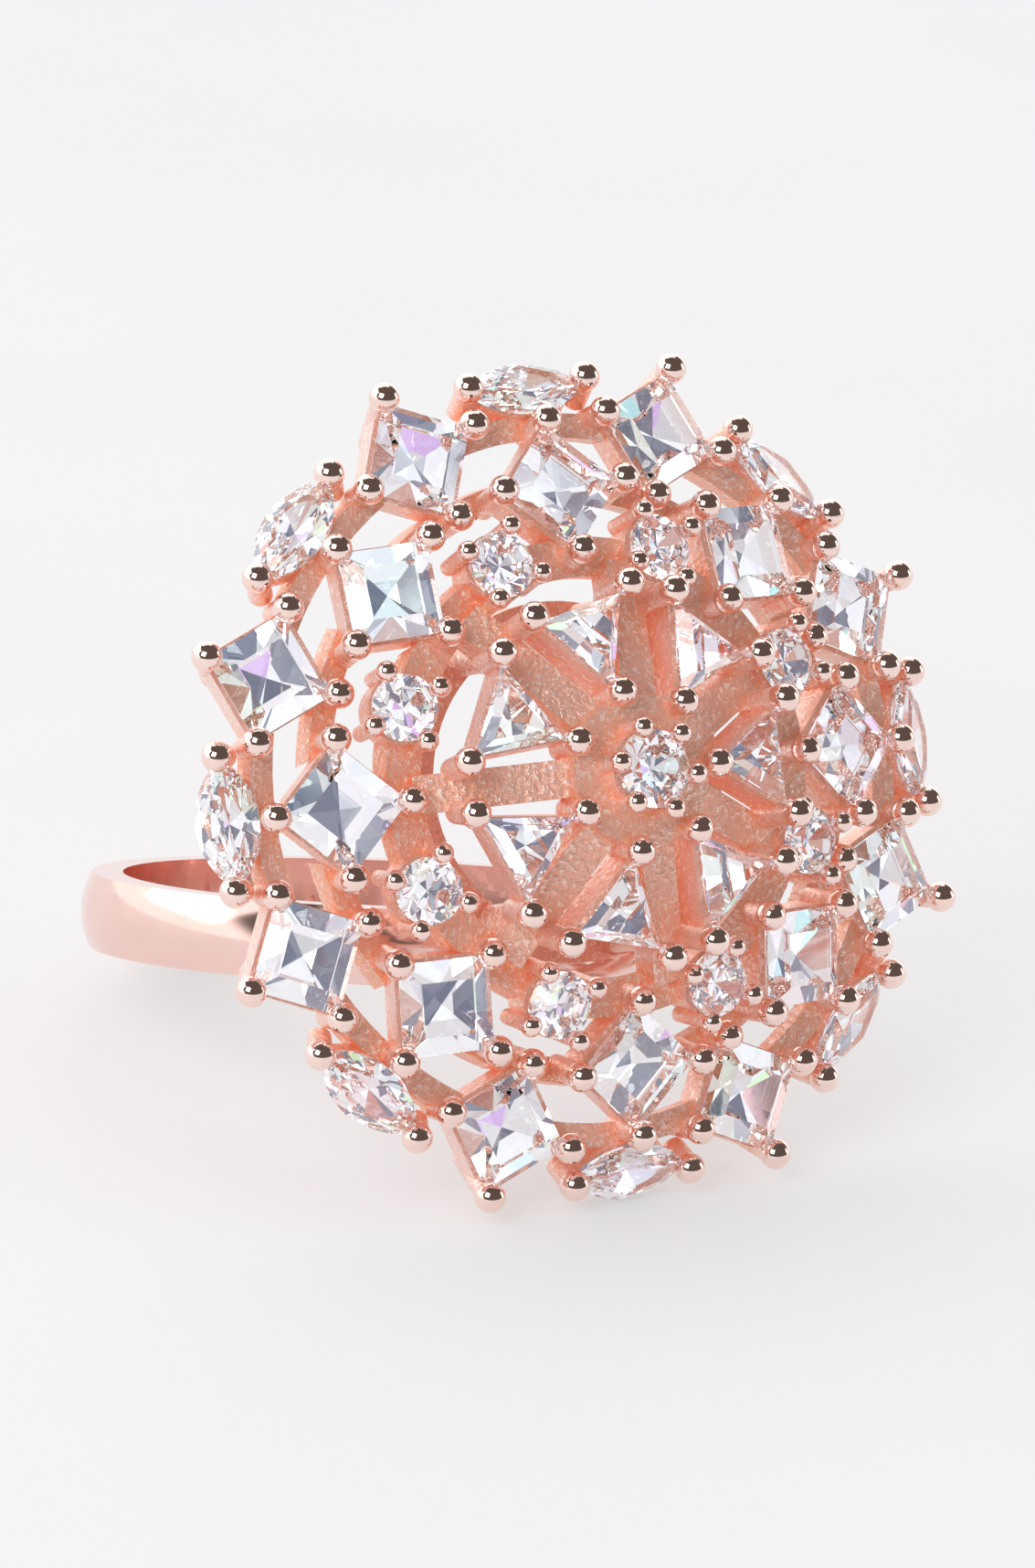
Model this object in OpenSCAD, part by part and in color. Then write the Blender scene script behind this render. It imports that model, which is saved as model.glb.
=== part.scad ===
// Open-work domed cocktail ring, set with forty stones.
//
// The head is built about its own axis, which is +Z before the ring is laid down.
// Zero degrees round that axis is +X, and the pattern of eight repeats from -Y.
// The finger hole's centre line crosses the head a few degrees off a right angle.
// The finished ring rests on the outer edge of its lowest marquise
// and on the back edge of the shank, with the table at z = 0.

/* [Head] */
// Distance from the head's axis to the outermost prong beads
rim_r = 13; // [12.6:0.1:13.6]
// Rise from the outermost prong beads up to the beads of the centre stone
dome_rise = 4.7; // [3.8:0.1:5.8]
// Height of the outermost prong beads above the outside of the shank
rim_lift = 1.6; // [1.5:0.1:3]
// Size of every stone against the room in its setting
stone_fill = 1; // [0.9:0.01:1.02]

/* [Prongs] */
// Radius of the beads on the large prongs
bead_r = 0.47; // [0.4:0.01:0.56]
// Radius of the beads on the small prongs
small_bead_r = 0.33; // [0.28:0.01:0.38]

/* [Lattice] */
// Width of the flat spokes that run out from the hub
spoke_w = 1.15; // [0.95:0.05:1.4]
// Height of the three rails
rail_h = 0.85; // [0.75:0.05:1.1]

/* [Shank] */
// Inside diameter of the finger hole
finger_d = 17.3; // [15.5:0.1:21]
// Width of the shank along the finger
shank_w = 2.35; // [1.9:0.05:3]
// Thickness of the shank at its crest
shank_t = 1.25; // [1:0.05:1.6]
// Distance of the shank's middle from the head's axis
shank_offset = 3.6; // [2.9:0.05:4.4]
// Turn of the finger line against the pattern of stones
shank_turn = 6.75; // [0:0.25:12]
// Tilt of the finger line towards the head, above the shank
shank_tilt = 9; // [0:0.5:10]

/* [Hidden] */
$fn = 48;
k = rim_r / 13;            // everything in the head grows with its rim
gap = 0.02;                // clearance between a stone and the metal round it
rose_gold = [0.93, 0.66, 0.57];
clear_stone = [0.93, 0.95, 0.99];

// Shank
finger_r = finger_d / 2;
shank_r = finger_r + shank_t;
shank_edge_drop = 0.3;     // how far the crest stands above the shank's edges
shank_edge_r = shank_r - shank_edge_drop;
crest_r = (shank_w * shank_w / 4 + shank_edge_drop * shank_edge_drop) / (2 * shank_edge_drop);
rim_z = shank_r + rim_lift;

// Every row of stones: how many, first angle, radius, height and outward tilt of its beads
function up(part) = rim_z + part * dome_rise;
ROW_N = 8;
ROW_PITCH = 360 / ROW_N;
TRILLION_N = 7;
trillion_turn = 11.7;
centre = [1, 46, 0, up(1), 0];
trillion = [TRILLION_N, 90 + trillion_turn, 4.41 * k, up(0.76), 12];
round_row = [ROW_N, -90 + ROW_PITCH / 2, 7.25 * k, up(0.43), 13.3];
inner_princess = [ROW_N, -90, 8.86 * k, up(0.28), 15];
outer_princess = [ROW_N, -90 + ROW_PITCH / 2, 11 * k, up(0.08), 11];
marquise = [ROW_N, -90, 12.1 * k, up(-0.03), 38];

// Stone sizes
cut = k * stone_fill;
princess_half = 1.42 * cut;      // half the side of a square stone
round_r = 1.02 * cut;
centre_r = 1.18 * cut;
trillion_in = 0.84 * cut;        // from the middle of a trillion to its sides
marquise_len = 1.98 * cut;       // half the length
marquise_wid = 0.98 * cut;       // half the width
girdle_h = 0.08;
table_k = 0.58;                  // table against the whole outline
star_k = 0.8;                    // inner ends of the upper facets
star_z = 0.58;
keel_k = 0.45;                   // lower ends of the facets under the girdle
keel_z = 0.62;

// Prongs
bead_z = 0.3;                    // bead centre above the girdle
post_r = 0.8 * bead_r;
small_post_r = 0.75 * small_bead_r;
corner_reach = 2.09 * k;         // bead centre from the middle of a square stone
round_reach = 1.19 * k;
centre_reach = 1.3 * k;
trillion_reach = 2.0 * k;
marquise_reach = 2.02 * k;
seat_top = -0.28;                // the seats start below the girdle
arm_len = 2.6;                   // the outermost prongs are long arms
arm_slant = 20;

// Lattice
rail_w = 0.75;
inner_rail_w = 1.2;
rail_r = [6.65 * k, 8.85 * k, 10.75 * k];
rail_top = [up(0.22), up(-0.03), up(-0.05)];
square_well_r = 1.65 * k;        // wells under the stones, for their points
round_well_r = 0.6 * k;
well_h = 6;
hub_r = 2.3 * k;
hub_h = 0.95;
hub_top = up(0.78);
spoke_end_z = up(0.3);
gallery_r = 5 * k;
gallery_w = 1;
finger_room = 0.1;         // clearance of the gallery round the finger
gallery_top = shank_r + 0.5;
gallery_base = finger_r - 0.25;
stem_r = 0.45;
spoke_run = rail_r[0] - 0.1 - hub_r / 2;
spoke_slope = atan((hub_top - spoke_end_z) / spoke_run);
stem_top = hub_top - hub_h / 2 - (gallery_r - hub_r / 2) * tan(spoke_slope);
centre_depth = up(1) - bead_z - hub_top + 0.05;

NODES = concat(
  ["shank", "gallery", "lattice", "centre_setting", "trillion_settings", "round_settings",
   "inner_princess_settings", "outer_princess_settings", "marquise_settings", "centre_stone"],
  numbered("trillion_stone", TRILLION_N), numbered("round_stone", ROW_N),
  numbered("inner_princess_stone", ROW_N), numbered("outer_princess_stone", ROW_N),
  numbered("marquise_stone", ROW_N));
node = "all";

function numbered(name, n) = [for (i = [1:n]) str(name, "_", i)];
function shown(name) = node == "all" || node == name;

// ---- the way the ring lies -------------------------------------------------

// Heights of the lowest tip beads, the lowest stone's outer edge and the shank's edge when
// the head leans back by `lean`
function bead_low(lean) = -marquise[2] * cos(lean) + marquise[3] * sin(lean) - bead_r;
function edge_low(lean) = let (z = girdle_h / 2 - bead_z, t = marquise[4])
  -(marquise[2] + marquise_wid * cos(t) + z * sin(t)) * cos(lean)
  + (marquise[3] - marquise_wid * sin(t) + z * cos(t)) * sin(lean);
function rim_low(lean) = min(bead_low(lean), edge_low(lean));
function shank_low(lean) = let (along = cos(lean) * cos(shank_turn) * cos(shank_tilt) + sin(lean) * sin(shank_tilt))
  -(shank_offset + shank_w / 2) * along - shank_edge_r * sqrt(1 - along * along);
function settle(low, high, n) = let (mid = (low + high) / 2)
  n == 0 ? mid : rim_low(mid) > shank_low(mid) ? settle(low, mid, n - 1) : settle(mid, high, n - 1);
lean = settle(5, 50, 30);
table_drop = -rim_low(lean);

// Middle of the resting ring's own box, front to back: beads in front, shank behind
function foremost(row, reach, angles, r) = min([for (i = [0:row[0] - 1], a = angles)
  let (turn = row[1] + i * 360 / row[0], out = row[2] + reach * cos(a) * cos(row[4]))
    (out * sin(turn) + reach * sin(a) * cos(turn)) * sin(lean)
    - (row[3] - reach * cos(a) * sin(row[4])) * cos(lean) - r]);
front_y = min(foremost(centre, centre_reach, [0:60:300], small_bead_r),
              foremost(trillion, trillion_reach, [60, 180, 300], bead_r));
finger_back = sin(lean) * cos(shank_turn) * cos(shank_tilt) - cos(lean) * sin(shank_tilt);
back_y = (shank_r - crest_r) * sqrt(1 - finger_back * finger_back) + crest_r - shank_offset * finger_back;
mid_y = (front_y + back_y) / 2;

module resting() translate([0, -mid_y, table_drop]) rotate([90 - lean, 0, 0]) children();

// Finger line along +Z, its middle at the middle of the shank
module on_finger() rotate([0, 0, -shank_turn]) rotate([shank_tilt, 0, 0]) translate([0, -shank_offset, 0])
  rotate([-90, 0, 0]) children();

// ---- one stone -------------------------------------------------------------

round_outline = function (r) function (a) r;
square_outline = function (h) function (a) h / max(abs(cos(a - 45)), abs(sin(a - 45)));
triangle_outline = function (h) function (a) h / cos((a + 720) % 120 - 60);
lens_outline = function (len, wid)
  let (arc_r = (len * len + wid * wid) / (2 * wid), c = arc_r - wid)
  function (a) sqrt(pow(c * cos(a), 2) + arc_r * arc_r - c * c) - c * abs(cos(a));

function polar(r, a, z) = [r * cos(a), r * sin(a), z];
function belt(outline, n, turn, part, z, grow) =
  [for (i = [0:n - 1]) let (a = (i + turn) * 360 / n) polar(part * outline(a) + grow, a, z)];

// A stone cut with `mains` main facets above and below, its girdle about z = 0
module gem(outline, mains, crown, keel, grow = 0) {
  n = mains;
  g = girdle_h / 2 + grow;
  pts = concat(
    belt(outline, n, 0, table_k, g + crown, grow),
    belt(outline, n, 0.5, star_k, g + star_z * crown, grow),
    belt(outline, 2 * n, 0, 1, g, grow),
    belt(outline, 2 * n, 0, 1, -g, grow),
    belt(outline, n, 0.5, keel_k, -g - keel_z * keel, grow),
    [[0, 0, -g - keel]]);
  table = function (i) (i + n) % n;
  star = function (i) n + (i + n) % n;
  top = function (j) 2 * n + (j + 2 * n) % (2 * n);
  base = function (j) 4 * n + (j + 2 * n) % (2 * n);
  low = function (i) 6 * n + (i + n) % n;
  tip = 7 * n;
  faces = concat(
    [[for (i = [n - 1:-1:0]) table(i)]],
    [for (i = [0:n - 1]) each [
      [table(i + 1), star(i), table(i)],
      [top(2 * i), star(i - 1), table(i)], [star(i), top(2 * i), table(i)],
      [top(2 * i + 1), top(2 * i), star(i)], [top(2 * i + 2), top(2 * i + 1), star(i)],
      [base(2 * i + 1), low(i), base(2 * i)], [base(2 * i + 2), low(i), base(2 * i + 1)],
      [low(i), tip, base(2 * i)], [tip, low(i - 1), base(2 * i)]]],
    [for (j = [0:2 * n - 1]) [top(j + 1), base(j + 1), base(j), top(j)]]);
  polyhedron(pts, faces);
}

module princess_gem(grow = 0) gem(square_outline(princess_half), 8, 0.36 * cut, 1.35 * cut, grow);
module round_gem(grow = 0) gem(round_outline(round_r), 8, 0.32 * cut, 0.88 * cut, grow);
module centre_gem(grow = 0) gem(round_outline(centre_r), 8, 0.37 * cut, 1 * cut, grow);
module trillion_gem(grow = 0) rotate(180) gem(triangle_outline(trillion_in), 3, 0.34 * cut, 1.05 * cut, grow);
module marquise_gem(grow = 0) gem(lens_outline(marquise_len, marquise_wid), 8, 0.3 * cut, 0.85 * cut, grow);

// ---- one setting -----------------------------------------------------------

// A prong: a post with a bead on it, at (x, y) beside the stone
module prong(x, y, depth, r = bead_r, post = post_r) translate([x, y, 0]) {
  translate([0, 0, -depth]) cylinder(r = post, h = depth + bead_z);
  translate([0, 0, bead_z]) sphere(r);
}

// The frame under a stone, following its outline
module seat(outline, n, depth, outer = 1.04, inner = 0.74)
  translate([0, 0, -depth]) linear_extrude(depth + seat_top) difference() {
    polygon([for (i = [0:n - 1]) let (a = i * 360 / n) outer * outline(a) * [cos(a), sin(a)]]);
    polygon([for (i = [0:n - 1]) let (a = i * 360 / n) inner * outline(a) * [cos(a), sin(a)]]);
  }

module cup(r, depth) translate([0, 0, -depth]) difference() {
  cylinder(r = r * 1.04, h = depth + seat_top);
  translate([0, 0, -1]) cylinder(r = r * 0.72, h = depth + 2);
}

module princess_setting(depth, arm = false) difference() {
  union() {
    seat(square_outline(princess_half), 4, depth);
    for (a = [90, 180, 270]) prong(corner_reach * cos(a), corner_reach * sin(a), depth);
    if (arm) outer_arm(); else prong(corner_reach, 0, depth);
  }
  princess_gem(gap);
}

// The long prong at the outside of an outer stone, slanting in under the rim
module outer_arm() translate([corner_reach, 0, bead_z]) {
  sphere(bead_r);
  rotate([0, 180 + arm_slant, 0]) cylinder(r = post_r, h = arm_len);
}

module round_setting(depth) difference() {
  union() {
    cup(round_r, depth);
    for (a = [45:90:315]) prong(round_reach * cos(a), round_reach * sin(a), depth, small_bead_r, small_post_r);
  }
  round_gem(gap);
}

module trillion_setting(depth) difference() {
  union() {
    rotate(180) seat(triangle_outline(trillion_in), 3, depth, 1.04, 0.66);
    for (a = [60, 180, 300]) prong(trillion_reach * cos(a), trillion_reach * sin(a), depth);
  }
  trillion_gem(gap);
}

module marquise_setting(depth) difference() {
  union() {
    seat(lens_outline(marquise_len, marquise_wid), 24, depth, 0.88, 0.6);
    for (s = [-1, 1]) prong(0, s * marquise_reach, depth);
  }
  marquise_gem(gap);
}

// ---- rows ------------------------------------------------------------------

// Puts its children, built about a girdle at z = 0, at place i of a row
module at(row, i) rotate([0, 0, row[1] + i * 360 / row[0]]) translate([row[2], 0, row[3]])
  rotate([0, row[4], 0]) translate([0, 0, -bead_z]) children();
module every(row) for (i = [0:row[0] - 1]) at(row, i) children();

module stone(row, i) color(clear_stone) resting() at(row, i) children();
// Settings are coped to sit on the lattice
module settings(row) color(rose_gold) resting() difference() {
  every(row) children();
  frame();
}

// ---- metal -----------------------------------------------------------------

// Flat hoop, coned to follow the dome
module rail(r, w, top) rotate_extrude($fn = 144) translate([r - w / 2, top - rail_h]) square([w, rail_h]);

module frame() difference() {
  union() {
    rail(rail_r[0], inner_rail_w, rail_top[0]);
    for (i = [1, 2]) rail(rail_r[i], rail_w, rail_top[i]);
    translate([0, 0, hub_top - hub_h]) cylinder(r = hub_r, h = hub_h);
    between_trillions() spoke();
  }
  at(centre, 0) well(round_well_r);
  every(round_row) well(round_well_r);
  every(inner_princess) well(square_well_r);
  every(outer_princess) well(square_well_r);
}

module well(r) translate([0, 0, -well_h / 2]) cylinder(r = r, h = well_h, center = true);

module between_trillions() for (i = [0:TRILLION_N - 1])
  rotate([0, 0, trillion[1] + (i + 0.5) * 360 / TRILLION_N]) children();

// A flat bar that slopes from the hub down to the inner rail
module spoke() translate([hub_r / 2, -spoke_w / 2, hub_top]) rotate([0, spoke_slope, 0])
  translate([0, 0, -hub_h]) cube([spoke_run / cos(spoke_slope), spoke_w, hub_h]);

module hoop() rotate_extrude($fn = 180) intersection() {
  translate([finger_r, -shank_w / 2]) square([shank_t, shank_w]);
  translate([shank_r - crest_r, 0]) circle(crest_r, $fn = 180);
}

module shank() color(rose_gold) resting() on_finger() hoop();

// A ring wire soldered across the shank, with a stem up to each spoke
module gallery() color(rose_gold) resting() difference() {
  union() {
    rotate_extrude($fn = 96) translate([gallery_r - gallery_w / 2, gallery_base])
      square([gallery_w, gallery_top - gallery_base]);
    between_trillions() translate([gallery_r, 0, gallery_base]) cylinder(r = stem_r, h = stem_top - gallery_base);
  }
  on_finger() hoop();
  on_finger() cylinder(r = finger_r + finger_room, h = 4 * finger_r, center = true);
  frame();
}

module lattice() color(rose_gold) resting() frame();

module centre_setting() color(rose_gold) resting() difference() {
  at(centre, 0) difference() {
    union() {
      cup(centre_r, centre_depth);
      for (a = [0:60:300])
        prong(centre_reach * cos(a), centre_reach * sin(a), centre_depth, small_bead_r, small_post_r);
    }
    centre_gem(gap);
  }
  frame();
}
module trillion_settings() settings(trillion) trillion_setting(1.5);
module round_settings() settings(round_row) round_setting(1.4);
module inner_princess_settings() settings(inner_princess) princess_setting(1.25);
module outer_princess_settings() settings(outer_princess) princess_setting(1.15, true);
module marquise_settings() settings(marquise) marquise_setting(0.8);

if (shown("shank")) shank();
if (shown("gallery")) gallery();
if (shown("lattice")) lattice();
if (shown("centre_setting")) centre_setting();
if (shown("trillion_settings")) trillion_settings();
if (shown("round_settings")) round_settings();
if (shown("inner_princess_settings")) inner_princess_settings();
if (shown("outer_princess_settings")) outer_princess_settings();
if (shown("marquise_settings")) marquise_settings();
if (shown("centre_stone")) stone(centre, 0) centre_gem();
for (i = [1:TRILLION_N]) if (shown(str("trillion_stone_", i))) stone(trillion, i - 1) trillion_gem();
for (i = [1:ROW_N]) {
  if (shown(str("round_stone_", i))) stone(round_row, i - 1) round_gem();
  if (shown(str("inner_princess_stone_", i))) stone(inner_princess, i - 1) princess_gem();
  if (shown(str("outer_princess_stone_", i))) stone(outer_princess, i - 1) princess_gem();
  if (shown(str("marquise_stone_", i))) stone(marquise, i - 1) marquise_gem();
}
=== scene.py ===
"""Looks of an open-work domed cocktail ring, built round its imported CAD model.

The CAD nodes give the metal its shape. Stones are cut again here with full facet
patterns, every prong gets a polished bead, and each finish is a procedural material.
"""

from __future__ import annotations

import logging
import math
from collections.abc import Iterable, Sequence
from dataclasses import dataclass, field
from enum import Enum

import bmesh
import bpy
from mathutils import Matrix, Vector

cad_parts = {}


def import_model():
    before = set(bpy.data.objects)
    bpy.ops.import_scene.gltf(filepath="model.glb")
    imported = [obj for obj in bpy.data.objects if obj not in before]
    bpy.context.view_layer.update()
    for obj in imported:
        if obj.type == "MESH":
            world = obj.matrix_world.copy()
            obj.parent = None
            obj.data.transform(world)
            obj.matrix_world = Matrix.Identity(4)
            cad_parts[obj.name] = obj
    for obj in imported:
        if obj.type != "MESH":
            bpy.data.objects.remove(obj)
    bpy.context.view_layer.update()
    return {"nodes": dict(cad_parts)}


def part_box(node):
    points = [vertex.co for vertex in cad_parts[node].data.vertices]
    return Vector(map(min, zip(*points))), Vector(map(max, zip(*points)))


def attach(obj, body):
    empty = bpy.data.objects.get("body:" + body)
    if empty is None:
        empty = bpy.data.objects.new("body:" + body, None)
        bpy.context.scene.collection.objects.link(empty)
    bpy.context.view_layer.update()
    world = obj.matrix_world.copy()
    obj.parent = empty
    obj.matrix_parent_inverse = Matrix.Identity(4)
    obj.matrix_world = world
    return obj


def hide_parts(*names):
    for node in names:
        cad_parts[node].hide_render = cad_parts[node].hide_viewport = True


MM = 0.001
ROOT = "root"
log = logging.getLogger("ring")

Colour = tuple[float, float, float]


# ---- node helpers ------------------------------------------------------------


class Nodes:
    """A node tree with short calls for adding and joining nodes."""

    def __init__(self, tree: bpy.types.NodeTree) -> None:
        """Wraps a tree.

        Args:
            tree: The node tree that the calls add to.
        """
        self.tree = tree

    def add(self, kind: str, **values: object) -> bpy.types.Node:
        """Adds a node.

        Args:
            kind: The node's type name without its ShaderNode prefix.
            **values: Properties of the node to set.

        Returns:
            The new node.
        """
        node = self.tree.nodes.new(f"ShaderNode{kind}")
        for name, value in values.items():
            setattr(node, name, value)
        return node

    def feed(self, socket: bpy.types.NodeSocket, value: object) -> None:
        """Gives an input a value or a link.

        Args:
            socket: The input socket.
            value: An output socket, or a plain value.
        """
        if isinstance(value, bpy.types.NodeSocket):
            self.tree.links.new(value, socket)
        else:
            socket.default_value = value

    def math(self, operation: str, *terms: object, clamp: bool = False) -> bpy.types.NodeSocket:
        """Adds a Math node.

        Args:
            operation: The node's operation.
            *terms: Output sockets or numbers, in order.
            clamp: Whether the result is kept between 0 and 1.

        Returns:
            The result socket.
        """
        node = self.add("Math", operation=operation, use_clamp=clamp)
        for socket, term in zip(node.inputs, terms):
            self.feed(socket, term)
        return node.outputs[0]

    def noise(self, vector: object, scale: object, detail: float = 3.0) -> bpy.types.Node:
        """Adds a Noise Texture node.

        Args:
            vector: Where the texture is read.
            scale: Repeats per metre of the vector.
            detail: Octaves of detail.

        Returns:
            The texture node.
        """
        node = self.add("TexNoise")
        self.feed(node.inputs["Vector"], vector)
        self.feed(node.inputs["Scale"], scale)
        node.inputs["Detail"].default_value = detail
        return node

    def span(
        self, value: object, low: float, high: float, to_low: object, to_high: object
    ) -> bpy.types.NodeSocket:
        """Maps one span of values onto another, smoothly and clamped.

        Args:
            value: The value to map.
            low: Start of the span read.
            high: End of the span read.
            to_low: Result at the start.
            to_high: Result at the end.

        Returns:
            The mapped value's socket.
        """
        node = self.add("MapRange", interpolation_type="SMOOTHSTEP")
        for name, term in (
            ("Value", value),
            ("From Min", low),
            ("From Max", high),
            ("To Min", to_low),
            ("To Max", to_high),
        ):
            self.feed(node.inputs[name], term)
        return node.outputs[0]

    def mix(self, factor: object, a: object, b: object, blend: str = "MIX") -> bpy.types.NodeSocket:
        """Mixes two colours.

        Args:
            factor: Share of the second colour.
            a: First colour.
            b: Second colour.
            blend: How the second is laid on the first.

        Returns:
            The mixed colour's socket.
        """
        node = self.add("Mix", data_type="RGBA", blend_type=blend)
        self.feed(node.inputs["Factor"], factor)
        self.feed(node.inputs[6], opaque(a))
        self.feed(node.inputs[7], opaque(b))
        return node.outputs[2]

    def group(self, tree: bpy.types.NodeTree, **inputs: object) -> bpy.types.Node:
        """Adds a node group.

        Args:
            tree: The shared group.
            **inputs: Values or sockets by input name, with _ for a space.

        Returns:
            The group node.
        """
        node = self.add("Group", node_tree=tree)
        for name, value in inputs.items():
            self.feed(node.inputs[name.replace("_", " ")], value)
        return node


def opaque(colour: object) -> object:
    """Adds full alpha to a three-part colour.

    Args:
        colour: A colour or a socket.

    Returns:
        The four-part colour, or the socket as it came.
    """
    if isinstance(colour, tuple) and len(colour) == 3:
        return (*colour, 1.0)
    return colour


class Patterns:
    """The node groups that more than one material uses, each built once."""

    def __init__(self) -> None:
        """Builds the groups."""
        self.grain = self._grain()
        self.recess_shade = self._recess_shade()
        self.fire = self._fire()

    @staticmethod
    def _open(
        name: str, inputs: Iterable[tuple[str, str, object]], outputs: Iterable[tuple[str, str]]
    ) -> tuple[Nodes, bpy.types.Node, bpy.types.Node]:
        """Starts a node group.

        Args:
            name: The group's name.
            inputs: Name, socket type and default of each input.
            outputs: Name and socket type of each output.

        Returns:
            The wrapped tree, its input node and its output node.
        """
        tree = bpy.data.node_groups.new(name, "ShaderNodeTree")
        for label, kind, default in inputs:
            socket = tree.interface.new_socket(label, in_out="INPUT", socket_type=f"NodeSocket{kind}")
            if default is not None:
                socket.default_value = default
        for label, kind in outputs:
            tree.interface.new_socket(label, in_out="OUTPUT", socket_type=f"NodeSocket{kind}")
        return Nodes(tree), tree.nodes.new("NodeGroupInput"), tree.nodes.new("NodeGroupOutput")

    def _grain(self) -> bpy.types.NodeTree:
        """Cast-metal grain: fine pits over slow waves, and specks that are smoother and carry the painted
        glints.

        Returns:
            The group, with Height, Specks and Drift outputs.
        """
        n, start, end = self._open(
            "metal_grain",
            [("Vector", "Vector", None), ("Size", "Float", 0.0001)],
            [("Height", "Float"), ("Specks", "Float"), ("Drift", "Float")],
        )
        place = start.outputs["Vector"]
        repeats = n.math("DIVIDE", 1.0, start.outputs["Size"])
        fine = n.noise(place, repeats, 4.0)
        slow = n.noise(place, n.math("MULTIPLY", repeats, 0.12), 2.0)
        cells = n.add("TexVoronoi", feature="SMOOTH_F1")
        n.feed(cells.inputs["Vector"], place)
        n.feed(cells.inputs["Scale"], n.math("MULTIPLY", repeats, 0.7))
        height = n.math("ADD", fine.outputs["Fac"], n.math("MULTIPLY", cells.outputs["Distance"], 0.35))
        n.feed(end.inputs["Height"], height)
        n.feed(end.inputs["Specks"], n.span(fine.outputs["Fac"], 0.54, 0.63, 0.0, 1.0))
        n.feed(end.inputs["Drift"], slow.outputs["Fac"])
        return n.tree

    def _recess_shade(self) -> bpy.types.NodeTree:
        """How far a point lies down between its neighbours, read from ambient occlusion to mask the painted
        shade.

        Returns:
            The group, with a Depth output from 0 in the open to 1 far down.
        """
        n, start, end = self._open("painted_recess_shade", [("Reach", "Float", 0.002)], [("Depth", "Float")])
        shade = n.add("AmbientOcclusion", samples=8)
        n.feed(shade.inputs["Distance"], start.outputs["Reach"])
        n.feed(end.inputs["Depth"], n.span(shade.outputs["AO"], 0.15, 0.85, 1.0, 0.0))
        return n.tree

    def _fire(self) -> bpy.types.NodeTree:
        """Painted fire: faint spectral tints that change from facet to facet, standing in for light that the
        stone splits into colours.

        Returns:
            The group, with a Tint output.
        """
        n, start, end = self._open(
            "stone_fire",
            [("Normal", "Vector", None), ("Seed", "Float", 0.0), ("Strength", "Float", 0.5)],
            [("Tint", "Color")],
        )
        shifted = n.add("VectorMath", operation="ADD")
        n.feed(shifted.inputs[0], start.outputs["Normal"])
        n.feed(shifted.inputs[1], start.outputs["Seed"])
        cells = n.add("TexVoronoi")
        n.feed(cells.inputs["Vector"], shifted.outputs[0])
        cells.inputs["Scale"].default_value = 4.0
        parts = n.add("SeparateColor")
        n.feed(parts.inputs[0], cells.outputs["Color"])
        spectrum = n.add("CombineColor", mode="HSV")
        n.feed(spectrum.inputs[0], parts.outputs[0])
        n.feed(spectrum.inputs[1], 0.5)
        n.feed(spectrum.inputs[2], 1.0)
        chosen = n.math("GREATER_THAN", parts.outputs[1], 0.86)
        amount = n.math("MULTIPLY", chosen, start.outputs["Strength"])
        n.feed(end.inputs["Tint"], n.mix(amount, (0.985, 0.985, 1.0), spectrum.outputs[0]))
        return n.tree


# ---- finishes ----------------------------------------------------------------


def shader_tree(name: str) -> tuple[bpy.types.Material, Nodes, bpy.types.Node]:
    """Starts a material with one Principled shader.

    Args:
        name: The material's name.

    Returns:
        The material, its wrapped tree and the shader.
    """
    material = bpy.data.materials.new(name)
    material.use_nodes = True
    material.node_tree.nodes.clear()
    n = Nodes(material.node_tree)
    shader = n.add("BsdfPrincipled")
    n.feed(n.add("OutputMaterial").inputs["Surface"], shader.outputs[0])
    return material, n, shader


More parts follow.
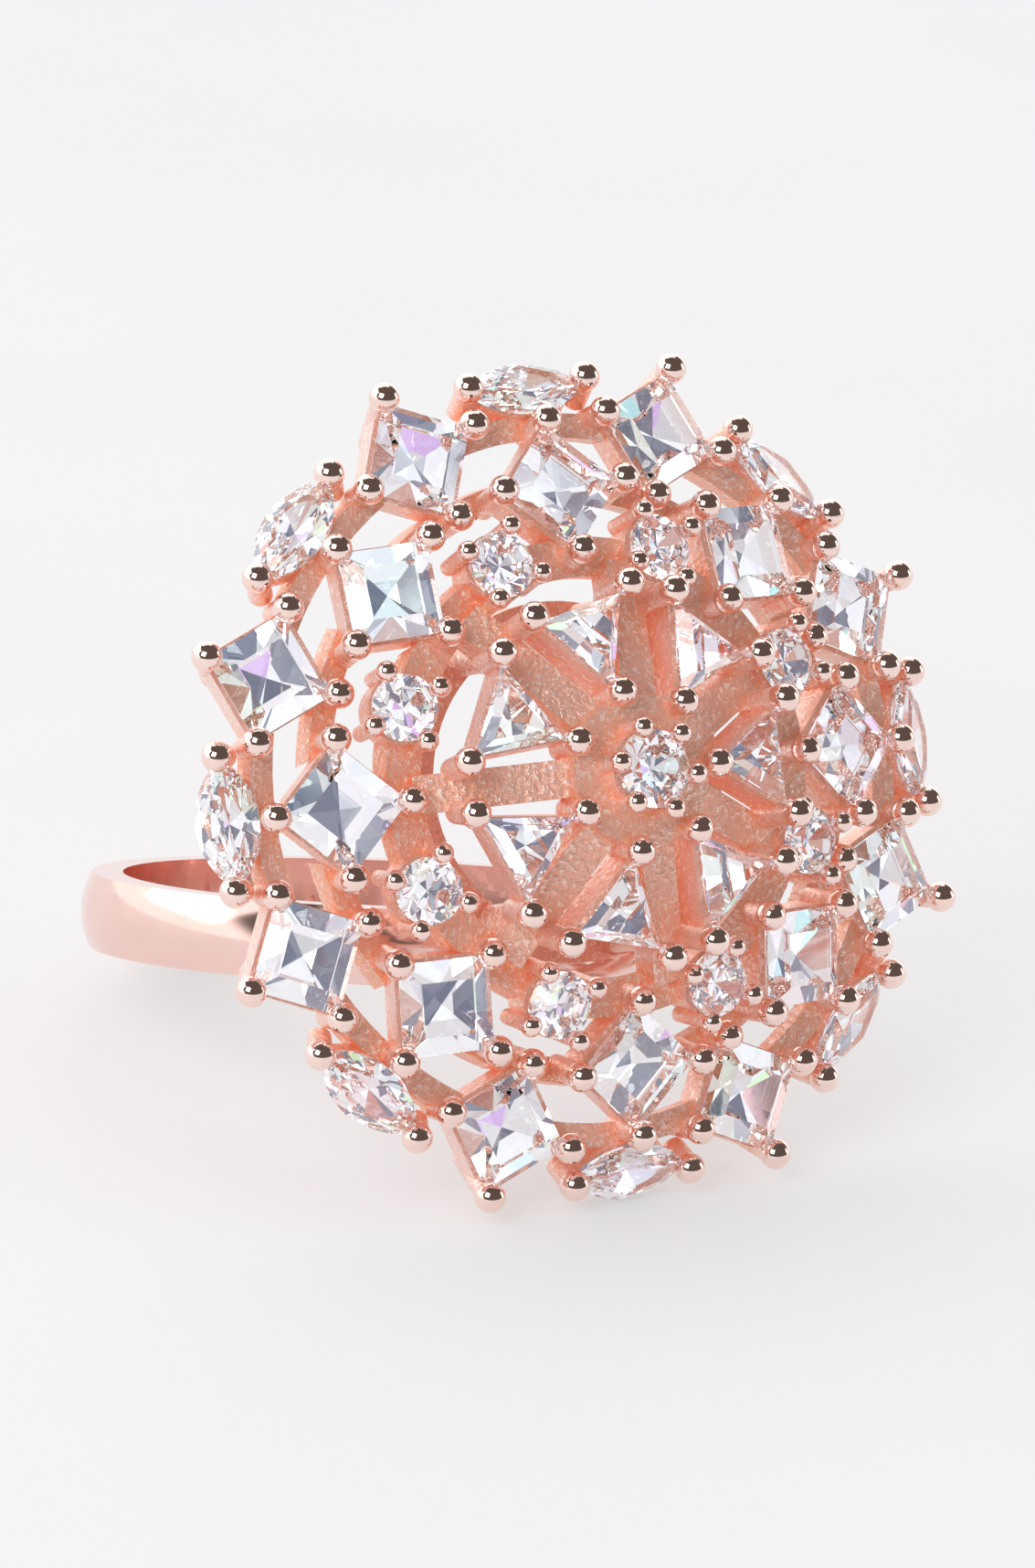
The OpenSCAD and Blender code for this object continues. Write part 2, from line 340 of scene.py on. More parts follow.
@dataclass(frozen=True)
class MetalFinish:
    """A rose-gold plate finish.

    Attributes:
        name: Material name.
        colour: Colour in the open.
        painted_recess_colour: Colour down between the settings, a painted shade and more orange tint that
            stand in for the shade and bounce light of the hollows.
        roughness: Lowest and highest roughness.
        grain_mm: Size of the surface grain.
        bump_mm: Height of the surface grain.
        reach_mm: How close a neighbour must be for a hollow to get painted shade.
        metallic: Share that reflects as bare metal, the rest as a matt film.
        painted_glow: Painted light that the hollows give off, standing in for light that their walls hand on
            to each other.
        painted_glint: Share of pale pink painted into the grain's specks as glints.
    """

    name: str
    colour: Colour
    painted_recess_colour: Colour
    roughness: tuple[float, float]
    grain_mm: float
    bump_mm: float
    reach_mm: float = 1.6
    metallic: float = 1.0
    painted_glow: float = 0.0
    painted_glint: float = 0.0

    def build(self, patterns: Patterns) -> bpy.types.Material:
        """Builds the material.

        Args:
            patterns: The shared node groups.

        Returns:
            The material.
        """
        material, n, shader = shader_tree(self.name)
        place = n.add("TexCoord").outputs["Object"]
        grain = n.group(patterns.grain, Vector=place, Size=self.grain_mm * MM)
        # Painted shade: where ambient occlusion finds a hollow, the metal takes a darker, more orange colour
        # that stands in for shade and for light bounced between the walls.
        recess_shade = n.group(patterns.recess_shade, Reach=self.reach_mm * MM)
        base = n.mix(recess_shade.outputs["Depth"], self.colour, self.painted_recess_colour)
        paler = tuple(min(1.0, 1.12 * part) for part in self.colour)
        drifting = n.span(grain.outputs["Drift"], 0.35, 0.65, 0.0, 0.45)
        tinted = n.mix(drifting, base, paler)
        # Painted highlight: the grain's specks are painted pale pink as glints.
        painted_glints = n.math("MULTIPLY", grain.outputs["Specks"], self.painted_glint)
        n.feed(shader.inputs["Base Color"], n.mix(painted_glints, tinted, (1.0, 0.85, 0.79)))
        # Painted light: the hollows give off their painted colour as emission, standing in for bounce light
        # between their walls.
        if self.painted_glow:
            n.feed(shader.inputs["Emission Color"], opaque(self.painted_recess_colour))
            n.feed(shader.inputs["Emission Strength"], n.math("MULTIPLY", recess_shade.outputs["Depth"], self.painted_glow))
        low, high = self.roughness
        n.feed(shader.inputs["Roughness"], n.span(grain.outputs["Specks"], 0.0, 1.0, high, low))
        shader.inputs["Metallic"].default_value = self.metallic
        bump = n.add("Bump")
        bump.inputs["Distance"].default_value = self.bump_mm * MM
        bump.inputs["Strength"].default_value = 1.0
        n.feed(bump.inputs["Height"], grain.outputs["Height"])
        n.feed(shader.inputs["Normal"], bump.outputs[0])
        return material


@dataclass(frozen=True)
class StoneFinish:
    """Clear cut stone.

    Attributes:
        name: Material name.
        ior: Refractive index.
        fire: Strength of the painted fire, spectral tints that stand in for light the stone splits into
            colours.
    """

    name: str
    ior: float = 2.1
    fire: float = 0.3

    def build(self, patterns: Patterns) -> bpy.types.Material:
        """Builds the material.

        Args:
            patterns: The shared node groups.

        Returns:
            The material.
        """
        material, n, shader = shader_tree(self.name)
        seed = n.math("MULTIPLY", n.add("ObjectInfo").outputs["Random"], 17.0)
        normal = n.add("NewGeometry").outputs["True Normal"]
        # Painted fire: spectral tints painted onto some facets, standing in for light that the stone splits
        # into colours.
        fire = n.group(patterns.fire, Normal=normal, Seed=seed, Strength=self.fire)
        n.feed(shader.inputs["Base Color"], fire.outputs["Tint"])
        shader.inputs["Transmission Weight"].default_value = 1.0
        shader.inputs["IOR"].default_value = self.ior
        polish = n.noise(n.add("TexCoord").outputs["Object"], 900.0)
        n.feed(shader.inputs["Roughness"], n.span(polish.outputs["Fac"], 0.4, 0.8, 0.0, 0.012))
        return material


@dataclass(frozen=True)
class TableFinish:
    """The pale table top that the ring lies on.

    Attributes:
        name: Material name.
        cool: Colour far from the ring.
        ring_bounce_tint: Colour close to the ring, a painted pool of the ring's rosy bounce light.
        painted_glow: Painted light: the table top gives off light evenly though it is no lamp, which keeps
            shadows pale.
    """

    name: str = "pale_table"
    cool: Colour = (0.36, 0.366, 0.378)
    ring_bounce_tint: Colour = (0.375, 0.367, 0.372)
    painted_glow: Colour = (0.45, 0.448, 0.45)

    def build(self) -> bpy.types.Material:
        """Builds the material.

        Returns:
            The material.
        """
        material, n, shader = shader_tree(self.name)
        place = n.add("TexCoord").outputs["Object"]
        reach = n.add("VectorMath", operation="LENGTH")
        n.feed(reach.inputs[0], place)
        # Painted light: a pool of the ring's rosy bounce light painted onto the table close to the ring,
        # fading out by 16 cm.
        ring_bounce_mask = n.span(reach.outputs["Value"], 0.02, 0.16, 1.0, 0.0)
        mottle = n.noise(place, 35.0)
        base = n.mix(ring_bounce_mask, self.cool, self.ring_bounce_tint)
        tone = n.span(mottle.outputs["Fac"], 0.3, 0.7, 0.0, 0.03)
        n.feed(shader.inputs["Base Color"], n.mix(tone, base, (0.3, 0.3, 0.32)))
        # Painted light: the table top gives off light though it is no lamp, which keeps the ring's shadows
        # pale.
        n.feed(shader.inputs["Emission Color"], opaque(self.painted_glow))
        shader.inputs["Emission Strength"].default_value = 1.0
        n.feed(shader.inputs["Roughness"], n.span(mottle.outputs["Fac"], 0.3, 0.7, 0.55, 0.7))
        shader.inputs["Specular IOR Level"].default_value = 0.15
        return material


# ---- the head's rows ---------------------------------------------------------


class Cut(Enum):
    """Outlines that the stones are cut to."""

    ROUND = "round"
    SQUARE = "square"
    TRIANGLE = "triangle"
    LENS = "lens"


@dataclass(frozen=True)
class Head:
    """How the ring's head lies in the row frame.

    Attributes:
        lean_deg: How far the head leans back.
        drop_mm: Height of the head's origin over the table.
        back_mm: Distance of the head's origin behind the row's origin.
        rim_mm: Height of the outermost beads along the head's axis.
        rise_mm: Rise from the outermost beads to the centre's.
    """

    lean_deg: float = 24.1057
    drop_mm: float = 7.29444
    back_mm: float = 3.81209
    rim_mm: float = 11.5
    rise_mm: float = 4.7

    def matrix(self) -> Matrix:
        """The head's own frame in the row frame, both in metres.

        Returns:
            The rigid transform.
        """
        turn = Matrix.Rotation(math.radians(90 - self.lean_deg), 4, "X")
        return Matrix.Translation((0, self.back_mm * MM, self.drop_mm * MM)) @ turn

    def up(self, part: float) -> float:
        """Height along the head's axis for a share of the dome's rise.

        Args:
            part: 0 at the outermost beads and 1 at the centre's.

        Returns:
            The height in millimetres.
        """
        return self.rim_mm + part * self.rise_mm


@dataclass(frozen=True)
class Row:
    """A ring of like stones.

    Attributes:
        name: Start of the stones' CAD names.
        cut: Outline of the stones.
        count: How many stones.
        first_deg: Angle of the first.
        radius_mm: Distance of the beads from the head's axis.
        part: Height of the beads as a share of the dome's rise.
        tilt_deg: Outward tilt.
        half_mm: Half width of a stone, or its in-radius.
        long_mm: Half length of a long stone.
        crown_mm: Height over the girdle.
        keel_mm: Depth under the girdle.
        prongs_deg: Angles of the prongs round a stone.
        reach_mm: Distance of the prongs from its middle.
        bead_mm: Radius of the beads.
        numbered: Whether the CAD names end in a number.
    """

    name: str
    cut: Cut
    count: int
    first_deg: float
    radius_mm: float
    part: float
    tilt_deg: float
    half_mm: float
    crown_mm: float
    keel_mm: float
    prongs_deg: tuple[float, ...]
    reach_mm: float
    bead_mm: float
    long_mm: float = 0.0
    numbered: bool = True

    BEAD_RISE_MM = 0.3

    def at(self, head: Head, index: int) -> Matrix:
        """Place of one stone, its girdle about z = 0.

        Args:
            head: How the head lies.
            index: Which stone, from 0.

        Returns:
            The rigid transform, in metres.
        """
        turn = math.radians(self.first_deg + index * 360 / self.count)
        out = Matrix.Translation((self.radius_mm * MM, 0, head.up(self.part) * MM))
        tilt = Matrix.Rotation(math.radians(self.tilt_deg), 4, "Y")
        sink = Matrix.Translation((0, 0, -self.BEAD_RISE_MM * MM))
        return head.matrix() @ Matrix.Rotation(turn, 4, "Z") @ out @ tilt @ sink

    def node(self, index: int) -> str:
        """CAD name of one stone.

        Args:
            index: Which stone, from 0.

        Returns:
            The node's name.
        """
        return f"{self.name}_{index + 1}" if self.numbered else self.name


LARGE_BEAD = 0.474
SMALL_BEAD = 0.334
PITCH = 360 / 8

ROWS = (
    Row("centre_stone", Cut.ROUND, 1, 46, 0, 1, 0, 1.18, 0.37, 1.0,
        tuple(range(0, 360, 60)), 1.3, SMALL_BEAD, numbered=False),
    Row("trillion_stone", Cut.TRIANGLE, 7, 101.7, 4.41, 0.76, 12, 0.84, 0.34, 1.05,
        (60, 180, 300), 2.0, LARGE_BEAD),
    Row("round_stone", Cut.ROUND, 8, -90 + PITCH / 2, 7.25, 0.43, 13.3, 1.02, 0.32, 0.88,
        (45, 135, 225, 315), 1.19, SMALL_BEAD),
    Row("inner_princess_stone", Cut.SQUARE, 8, -90, 8.86, 0.28, 15, 1.42, 0.36, 1.35,
        (0, 90, 180, 270), 2.09, LARGE_BEAD),
    Row("outer_princess_stone", Cut.SQUARE, 8, -90 + PITCH / 2, 11, 0.08, 11, 1.42, 0.36, 1.35,
        (0, 90, 180, 270), 2.09, LARGE_BEAD),
    Row("marquise_stone", Cut.LENS, 8, -90, 12.1, -0.03, 38, 0.98, 0.3, 0.85,
        (90, 270), 2.02, LARGE_BEAD, long_mm=1.98),
)


# ---- stones ------------------------------------------------------------------


class Pass(Enum):
    """What a facet's plane passes through."""

    EDGE = "edge"
    POINT = "point"
    BOTH = "both"


@dataclass(frozen=True)
class Tier:
    """One tier of like facets.

    Attributes:
        through: What the planes pass through.
        azimuths: Compass directions of the facets.
        steeper_deg: Added to the slope that runs from edge to point.
    """

    through: Pass
    azimuths: tuple[float, ...]
    steeper_deg: float = 0.0


def around(count: int, start: float = 0.0) -> tuple[float, ...]:
    """Evenly spaced directions.

    Args:
        count: How many.
        start: The first, in degrees.

    Returns:
        The directions.
    """
    return tuple(start + i * 360 / count for i in range(count))


def paired(sides: Sequence[float], spread: float) -> tuple[float, ...]:
    """Two directions beside each side's own.

    Args:
        sides: The sides' directions.
        spread: Degrees to either side.

    Returns:
        The directions.
    """
    return tuple(side + way * spread for side in sides for way in (-1, 1))


def compass(angle_deg: float) -> Vector:
    """Flat unit vector.

    Args:
        angle_deg: Its direction.

    Returns:
        The vector.
    """
    angle = math.radians(angle_deg)
    return Vector((math.cos(angle), math.sin(angle)))


class Lapidary:
    """Cuts a stone out of a prism, one facet plane at a time."""

    TABLE = 0.58
    GIRDLE_MM = 0.04

    def __init__(self, row: Row) -> None:
        """Takes the sizes of a row's stones.

        Args:
            row: The row to cut for.
        """
        self.row = row
        self.outline = self._outline()

    def _outline(self) -> list[Vector]:
        """Corners of the girdle.

        Returns:
            Points in the girdle's plane, in millimetres.
        """
        half, cut = self.row.half_mm, self.row.cut
        if cut is Cut.SQUARE:
            return [half * math.sqrt(2) * compass(angle) for angle in around(4)]
        if cut is Cut.TRIANGLE:
            return [2 * half * compass(angle) for angle in around(3, 60)]
        if cut is Cut.ROUND:
            return [half * compass(angle) for angle in around(48)]
        long = self.row.long_mm
        arc = (long * long + half * half) / (2 * half)
        sweep = math.asin(long / arc)
        steps = 12
        side = [arc * Vector((math.cos(t), math.sin(t))) - Vector((arc - half, 0))
                for t in ((2 * i / steps - 1) * sweep for i in range(steps))]
        return side + [-point for point in side]

    def _support(self, azimuth: float) -> float:
        """Reach of the outline in a direction.

        Args:
            azimuth: The direction, in degrees.

        Returns:
            The reach in millimetres.
        """
        way = compass(azimuth)
        return max(point.dot(way) for point in self.outline)

    def _tiers(self) -> tuple[list[Tier], list[Tier]]:
        """The crown's and the pavilion's tiers.

        Returns:
            Both lists.
        """
        if self.row.cut is Cut.ROUND:
            crown = [Tier(Pass.BOTH, around(8)), Tier(Pass.EDGE, paired(around(8), 11.25), 5)]
            below = [Tier(Pass.BOTH, around(8)), Tier(Pass.EDGE, paired(around(8), 11.25), 2.5)]
            return crown, below
        if self.row.cut is Cut.LENS:
            crown = [Tier(Pass.BOTH, around(8, 22.5)), Tier(Pass.EDGE, around(12, 15), 6)]
            below = [
                Tier(Pass.BOTH, around(12)),
                Tier(Pass.EDGE, around(12, 15), 4),
                Tier(Pass.POINT, around(8, 22.5), -3),
            ]
            return crown, below
        sides = around(4, 45) if self.row.cut is Cut.SQUARE else (0.0, 120.0, 240.0)
        step = 45 if self.row.cut is Cut.SQUARE else 60
        corners = tuple(side + step for side in sides)
        crown = [
            Tier(Pass.BOTH, sides),
            Tier(Pass.EDGE, sides, 9),
            Tier(Pass.BOTH, paired(sides, step * 0.3)),
            Tier(Pass.EDGE, paired(sides, step * 0.18), 4),
            Tier(Pass.EDGE, paired(sides, step * 0.5), 3),
        ]
        below = [
            Tier(Pass.EDGE, sides, 13),
            Tier(Pass.EDGE, paired(sides, step * 0.22), 6),
            Tier(Pass.BOTH, sides),
            Tier(Pass.POINT, paired(sides, step * 0.25), -1),
            Tier(Pass.POINT, paired(sides, step * 0.55), -2),
            Tier(Pass.POINT, paired(sides, step * 0.8), -4),
        ]
        return crown, below

    def _slice(self, solid: bmesh.types.BMesh, normal: Vector, distance: float) -> None:
        """Cuts away all that lies beyond a plane and closes the cut.

        Args:
            solid: The stone.
            normal: The plane's unit normal, outwards.
            distance: The plane's distance from the origin.
        """
        parts = [*solid.verts, *solid.edges, *solid.faces]
        bmesh.ops.bisect_plane(
            solid, geom=parts, dist=1e-5, plane_co=normal * distance, plane_no=normal, clear_outer=True
        )
        rim = [edge for edge in solid.edges if edge.is_boundary]
        if rim:
            bmesh.ops.holes_fill(solid, edges=rim, sides=0)

    def _grind(self, solid: bmesh.types.BMesh, tier: Tier, way: int, point_mm: float) -> None:
        """Grinds one tier.

        Args:
            solid: The stone.
            tier: The tier.
            way: 1 for the crown, -1 for the pavilion.
            point_mm: Height at which the slopes meet, over the girdle's edge.
        """
        for azimuth in tier.azimuths:
            reach = self._support(azimuth)
            slope = math.atan2(point_mm, reach) + math.radians(tier.steeper_deg)
            side, along = math.sin(slope), math.cos(slope)
            angle = math.radians(azimuth)
            normal = Vector((side * math.cos(angle), side * math.sin(angle), way * along))
            if tier.through is Pass.POINT:
                distance = along * (self.GIRDLE_MM + point_mm)
            else:
                distance = side * reach + along * self.GIRDLE_MM
            self._slice(solid, normal, distance)

    def cut(self) -> bpy.types.Mesh:
        """Cuts the stone.

        Returns:
            A mesh in metres, its girdle about z = 0.
        """
        row = self.row
        solid = bmesh.new()
        top, bottom = self.GIRDLE_MM + row.crown_mm, -self.GIRDLE_MM - row.keel_mm
        rings = [[solid.verts.new((p.x, p.y, z)) for p in self.outline] for z in (bottom, top)]
        count = len(self.outline)
        solid.faces.new(list(reversed(rings[0])))
        solid.faces.new(rings[1])
        for i in range(count):
            j = (i + 1) % count
            solid.faces.new((rings[0][i], rings[0][j], rings[1][j], rings[1][i]))
        crown, below = self._tiers()
        for tier in crown:
            self._grind(solid, tier, 1, row.crown_mm / (1 - self.TABLE))
        for tier in below:
            self._grind(solid, tier, -1, row.keel_mm)
        bmesh.ops.recalc_face_normals(solid, faces=solid.faces)
        solid.transform(Matrix.Scale(MM, 4))
        mesh = bpy.data.meshes.new(f"{row.name}_cut")
        solid.to_mesh(mesh)
        solid.free()
        return mesh


@dataclass
class Stones:
    """The stones of one row.

    Attributes:
        row: The row.
        head: How the head lies.
        finish: Their material.
    """

    row: Row
    head: Head
    finish: bpy.types.Material

    def build(self) -> list[bpy.types.Object]:
        """Cuts and places the stones, each in place of its CAD node.

        Returns:
            The stones.
        """
        mesh = Lapidary(self.row).cut()
        mesh.materials.append(self.finish)
        made = []
        for index in range(self.row.count):
            stone = bpy.data.objects.new(f"cut_{self.row.node(index)}", mesh)
            bpy.context.scene.collection.objects.link(stone)
            stone.matrix_world = self.row.at(self.head, index)
            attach(stone, ROOT)
            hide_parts(self.row.node(index))
            made.append(stone)
        return made


# ---- metal -------------------------------------------------------------------


@dataclass
class Beads:
    """The polished beads on the prongs of one row.

    Attributes:
        row: The row.
        head: How the head lies.
        finish: Their material.
        segments: Facets round a bead.
    """

    row: Row
    head: Head
    finish: bpy.types.Material
    segments: int = 28

    def build(self) -> bpy.types.Object:
        """Builds all the beads of the row as one piece.

        Returns:
            The piece.
        """
        solid = bmesh.new()
        for index in range(self.row.count):
            place = self.row.at(self.head, index)
            for angle in self.row.prongs_deg:
                out = self.row.reach_mm * MM
                spot = Vector((out * math.cos(math.radians(angle)), out * math.sin(math.radians(angle)),
                               Row.BEAD_RISE_MM * MM))
                bmesh.ops.create_uvsphere(
                    solid,
                    u_segments=self.segments,
                    v_segments=self.segments // 2,
                    radius=self.row.bead_mm * MM,
                    matrix=place @ Matrix.Translation(spot),
                )
        for face in solid.faces:
            face.smooth = True
        mesh = bpy.data.meshes.new(f"{self.row.name}_beads")
        solid.to_mesh(mesh)
        solid.free()
        mesh.materials.append(self.finish)
        piece = bpy.data.objects.new(self.row.name.replace("_stone", "_beads"), mesh)
        bpy.context.scene.collection.objects.link(piece)
        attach(piece, ROOT)
        return piece


@dataclass
class Metalwork:
    """The metal pieces that keep their CAD shape.

    Attributes:
        nodes: The frame's CAD nodes by name.
        finishes: Material of each kind of piece, by the end or whole of its name.
    """

    nodes: dict[str, bpy.types.Object]
    finishes: dict[str, bpy.types.Material]

    def dress(self) -> list[str]:
        """Gives each metal node its finish.

        Returns:
            Names of the nodes dressed.
        """
        dressed = []
        for name, node in self.nodes.items():
            for ending, finish in self.finishes.items():
                if name.endswith(ending):
                    for slot in range(max(1, len(node.data.materials))):
                        if slot < len(node.data.materials):
                            node.data.materials[slot] = finish
                        else:
                            node.data.materials.append(finish)
                    dressed.append(name)
        return dressed


# ---- studio ------------------------------------------------------------------


def bearing(azimuth_deg: float, elevation_deg: float) -> Vector:
    """Unit vector from the ring towards a compass direction.

    Args:
        azimuth_deg: 0 is in front of the ring, towards -Y, and 90 towards +X.
        elevation_deg: Angle over the horizon.

    Returns:
        The unit vector.
    """
    a, e = math.radians(azimuth_deg), math.radians(elevation_deg)
    return Vector((math.sin(a) * math.cos(e), -math.cos(a) * math.cos(e), math.sin(e)))


@dataclass(frozen=True)
class Softbox:
    """A soft rectangular light aimed at the ring.

    Attributes:
        name: Light name.
        azimuth_deg: Compass direction.
        elevation_deg: Angle over the horizon.
        distance_m: Distance from the ring.
        width_m: Width.
        height_m: Height.
        radiance: Brightness of its face.
        tint: Colour.
    """

    name: str
    azimuth_deg: float
    elevation_deg: float
    distance_m: float
    width_m: float
    height_m: float
    radiance: float
    tint: Colour = (1.0, 1.0, 1.0)

    def build(self, target: Vector) -> bpy.types.Object:
        """Builds the light.

        Args:
            target: Where it points.

        Returns:
            The light.
        """
        data = bpy.data.lights.new(self.name, "AREA")
        data.shape = "RECTANGLE"
        data.size, data.size_y = self.width_m, self.height_m
        data.energy = self.radiance * math.pi * self.width_m * self.height_m
        data.color = self.tint
        light = bpy.data.objects.new(self.name, data)
        back = bearing(self.azimuth_deg, self.elevation_deg)
        light.matrix_world = Matrix.Translation(target + back * self.distance_m) @ back.to_track_quat(
            "Z", "Y"
        ).to_matrix().to_4x4()
        bpy.context.scene.collection.objects.link(light)
        return light


@dataclass(frozen=True)
class Surroundings:
    """The room round the table.

    Attributes:
        fill: Light on matt surfaces.
        pale: Pale walls, as seen in polished metal.
        dark: The unlit side of the room.
        dark_azimuth_deg: Compass direction of the unlit side.
        dark_elevation_deg: Its angle over the horizon.
        dark_reach_deg: Half of its width.
        in_stone: Pale light that comes back out of the stones.
        in_stone_dark: Dark patches among it.
    """

    fill: Colour = (0.80, 0.80, 0.81)
    pale: Colour = (1.35, 1.31, 1.30)
    dark: Colour = (0.11, 0.09, 0.082)
    dark_azimuth_deg: float = 5.0
    dark_elevation_deg: float = 45.0
    dark_reach_deg: float = 84.0
    in_stone: Colour = (1.12, 1.15, 1.22)
    in_stone_dark: Colour = (0.20, 0.22, 0.30)

    def build(self) -> bpy.types.World:
        """Builds the world.

        Returns:
            The world.
        """
        world = bpy.data.worlds.new("studio")
        world.use_nodes = True
        world.node_tree.nodes.clear()
        n = Nodes(world.node_tree)
        way = n.add("TexCoord").outputs["Generated"]
        facing = n.add("VectorMath", operation="DOT_PRODUCT")
        n.feed(facing.inputs[0], way)
        n.feed(facing.inputs[1], tuple(bearing(self.dark_azimuth_deg, self.dark_elevation_deg)))
        edge = math.cos(math.radians(self.dark_reach_deg))
        share = n.span(facing.outputs["Value"], edge - 0.08, edge + 0.08, 0.0, 1.0)
        room = n.mix(share, self.pale, self.dark)
        patches = n.noise(way, 6.0, 2.0)
        lit = n.span(patches.outputs["Fac"], 0.47, 0.55, 0.0, 1.0)
        through = n.mix(lit, self.in_stone_dark, self.in_stone)
        cells = n.add("TexVoronoi")
        n.feed(cells.inputs["Vector"], way)
        cells.inputs["Scale"].default_value = 8.0
        parts = n.add("SeparateColor")
        n.feed(parts.inputs[0], cells.outputs["Color"])
        spectrum = n.add("CombineColor", mode="HSV")
        n.feed(spectrum.inputs[0], parts.outputs[0])
        n.feed(spectrum.inputs[1], 0.45)
        n.feed(spectrum.inputs[2], 1.3)
        flash = n.math("MULTIPLY", n.math("GREATER_THAN", parts.outputs[1], 0.93), 0.7)
        through = n.mix(flash, through, spectrum.outputs[0])
        rays = n.add("LightPath")
        inside = n.math("GREATER_THAN", rays.outputs["Transmission Depth"], 0.5)
        seen = n.mix(inside, room, through)
        seen = n.mix(rays.outputs["Is Diffuse Ray"], seen, self.fill)
        seen = n.mix(rays.outputs["Is Camera Ray"], seen, (0.88, 0.885, 0.895))
        light = n.add("Background")
        n.feed(light.inputs["Color"], seen)
        n.feed(n.add("OutputWorld").inputs["Surface"], light.outputs[0])
        return world


@dataclass(frozen=True)
class Viewpoint:
    """The camera.

    Attributes:
        target_mm: Point on its axis, beside the middle of the head's rim.
        azimuth_deg: Compass direction of the camera.
        elevation_deg: Its angle over the horizon.
        roll_deg: Turn about its own axis.
        distance_m: Distance from the target.
        lens_mm: Focal length.
        sensor_mm: Sensor size along the picture's height.
    """

    target_mm: tuple[float, float, float] = (-1.70, -5.779, 11.706)
    azimuth_deg: float = -31.26
    elevation_deg: float = 20.36
    roll_deg: float = 4.67
    distance_m: float = 0.27577
    lens_mm: float = 209.8
    sensor_mm: float = 36.0

    def build(self) -> bpy.types.Object:
        """Builds the camera and makes it the scene's.

        Returns:
            The camera.
        """
        data = bpy.data.cameras.new("view")
        data.lens = self.lens_mm
        data.sensor_width = data.sensor_height = self.sensor_mm
        data.clip_start, data.clip_end = 0.01, 20.0
        camera = bpy.data.objects.new("view", data)
        back = bearing(self.azimuth_deg, self.elevation_deg)
        right = Vector((0, 0, 1)).cross(back).normalized()
        above = back.cross(right)
        turn = math.radians(self.roll_deg)
        side = right * math.cos(turn) + above * math.sin(turn)
        up = above * math.cos(turn) - right * math.sin(turn)
        axes = Matrix((side, up, back)).transposed().to_4x4()
        place = Vector(self.target_mm) * MM + back * self.distance_m
        camera.matrix_world = Matrix.Translation(place) @ axes
        bpy.context.scene.collection.objects.link(camera)
        bpy.context.scene.camera = camera
        return camera


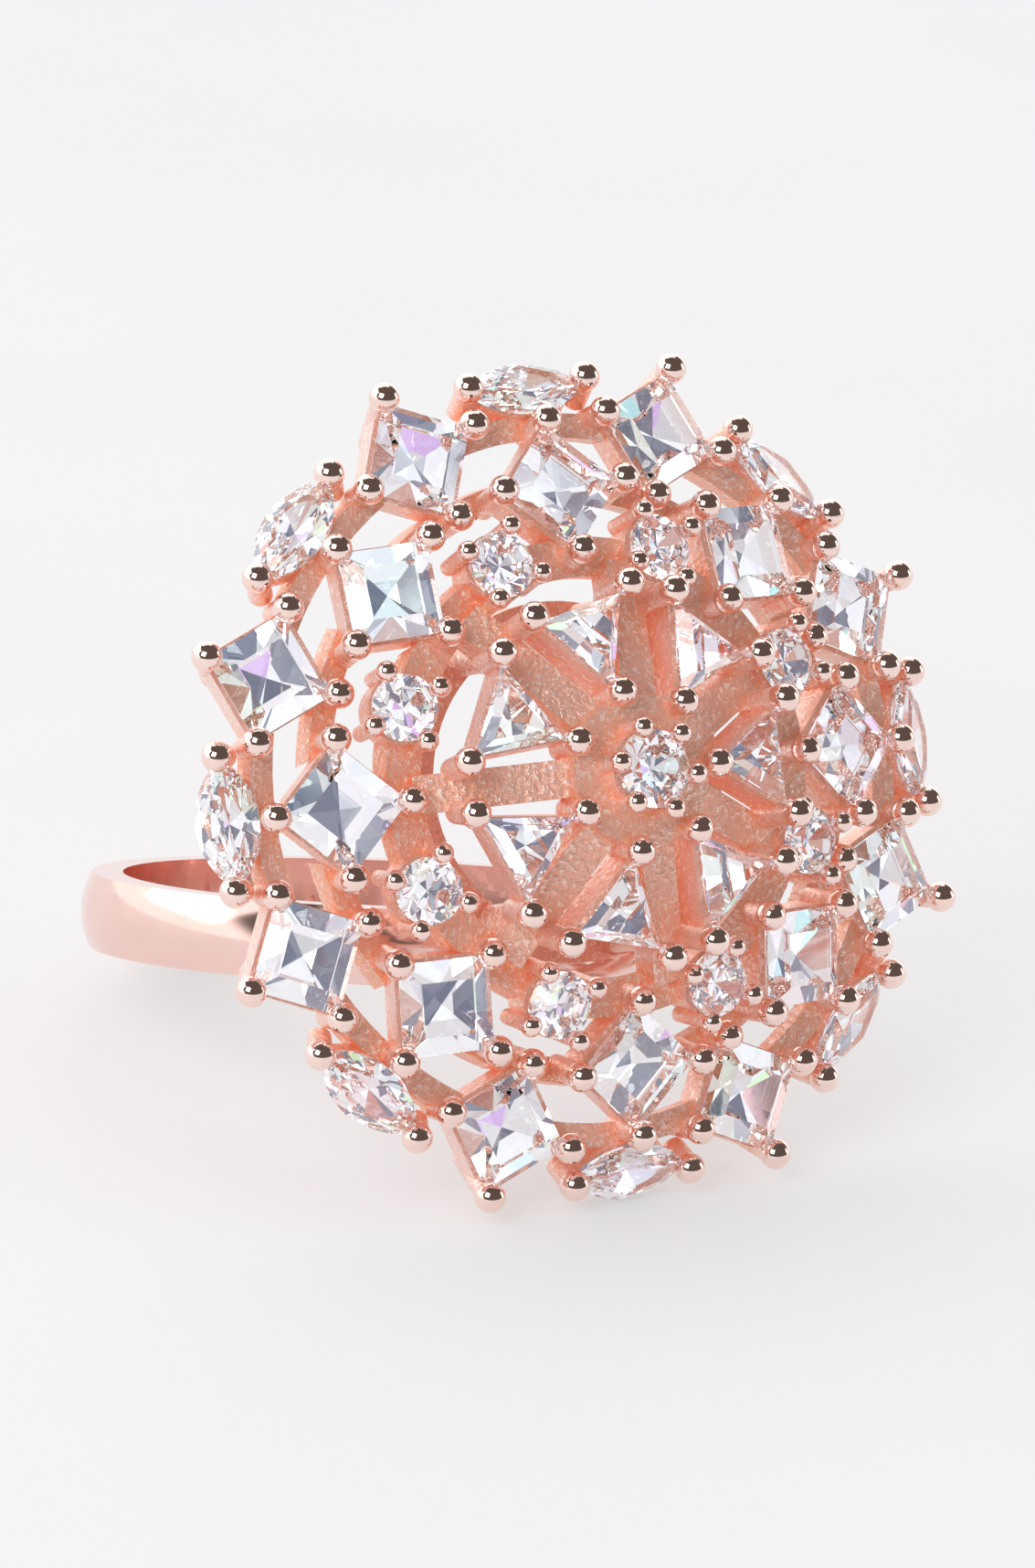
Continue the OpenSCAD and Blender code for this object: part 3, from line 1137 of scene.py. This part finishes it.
@dataclass
class Studio:
    """Table, lights, room and camera.

    Attributes:
        surroundings: The room.
        viewpoint: The camera.
        softboxes: The lights.
        table_m: Side of the table.
        bounces: How many times light may bounce, so that it gets out of the stones again.
    """

    surroundings: Surroundings = field(default_factory=Surroundings)
    viewpoint: Viewpoint = field(default_factory=Viewpoint)
    softboxes: tuple[Softbox, ...] = (
        Softbox("key", -60, 34, 0.45, 0.24, 0.24, 4.0),
        Softbox("left_panel", -125, 30, 0.6, 0.5, 0.4, 1.2),
        Softbox("back_panel", 160, 55, 0.6, 0.5, 0.3, 1.1, (1.0, 0.985, 0.97)),
        Softbox("right_panel", 75, 12, 0.6, 0.22, 0.3, 1.4),
    )
    table_m: float = 6.0
    bounces: int = 24

    def build(self) -> None:
        """Builds it all."""
        mesh = bpy.data.meshes.new("table")
        half = self.table_m / 2
        corners = [(-half, -half, 0), (half, -half, 0), (half, half, 0), (-half, half, 0)]
        mesh.from_pydata(corners, [], [(0, 1, 2, 3)])
        mesh.materials.append(TableFinish().build())
        table = bpy.data.objects.new("table", mesh)
        bpy.context.scene.collection.objects.link(table)
        for softbox in self.softboxes:
            softbox.build(Vector(self.viewpoint.target_mm) * MM)
        bpy.context.scene.world = self.surroundings.build()
        self.viewpoint.build()
        cycles = bpy.context.scene.cycles
        cycles.max_bounces = cycles.transmission_bounces = cycles.glossy_bounces = self.bounces
        view = bpy.context.scene.view_settings
        view.view_transform = "Standard"
        view.look = "None"
        log.info("studio: %d softboxes, %.0f mm lens", len(self.softboxes), self.viewpoint.lens_mm)


# ---- all of it ---------------------------------------------------------------

PLAIN_BAND = MetalFinish(
    "polished_rose_gold", (0.89, 0.63, 0.57), (0.75, 0.38, 0.28), (0.05, 0.14), 0.5, 0.0006, 1.0
)
BEAD_METAL = MetalFinish(
    "bead_rose_gold", (0.97, 0.74, 0.67), (0.90, 0.54, 0.44), (0.03, 0.07), 0.3, 0.0004, 0.8
)
SETTING_METAL = MetalFinish(
    "prong_rose_gold", (0.95, 0.68, 0.61), (0.95, 0.45, 0.29), (0.10, 0.34), 0.18, 0.07,
    metallic=0.65, painted_glow=0.07, painted_glint=0.6,
)
LATTICE_METAL = MetalFinish(
    "cast_rose_gold", (0.96, 0.57, 0.45), (0.96, 0.41, 0.23), (0.12, 0.40), 0.17, 0.12,
    metallic=0.6, painted_glow=0.12, painted_glint=0.75,
)
CLEAR_STONE = StoneFinish("clear_stone")


def main() -> None:
    """Builds the scene."""
    logging.basicConfig(level=logging.INFO, format="%(name)s: %(message)s")
    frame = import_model()
    patterns = Patterns()
    head = Head()
    stone_finish = CLEAR_STONE.build(patterns)
    bead_finish = BEAD_METAL.build(patterns)
    for row in ROWS:
        stones = Stones(row, head, stone_finish).build()
        beads = Beads(row, head, bead_finish).build()
        low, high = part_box(row.node(0))
        corners = [stones[0].matrix_world @ Vector(corner) for corner in stones[0].bound_box]
        off = (low + high) / 2 - sum(corners, Vector()) / len(corners)
        log.info("%s: %d stones, %s, %.2f mm from CAD", row.name, len(stones), beads.name, off.length / MM)
    cast = SETTING_METAL.build(patterns)
    finishes = {
        "shank": PLAIN_BAND.build(patterns),
        "gallery": LATTICE_METAL.build(patterns),
        "_setting": cast,
        "_settings": cast,
    }
    finishes["lattice"] = finishes["gallery"]
    dressed = Metalwork(frame["nodes"], finishes).dress()
    log.info("metal: %s", ", ".join(dressed))
    Studio().build()


if __name__ == "__main__":
    main()
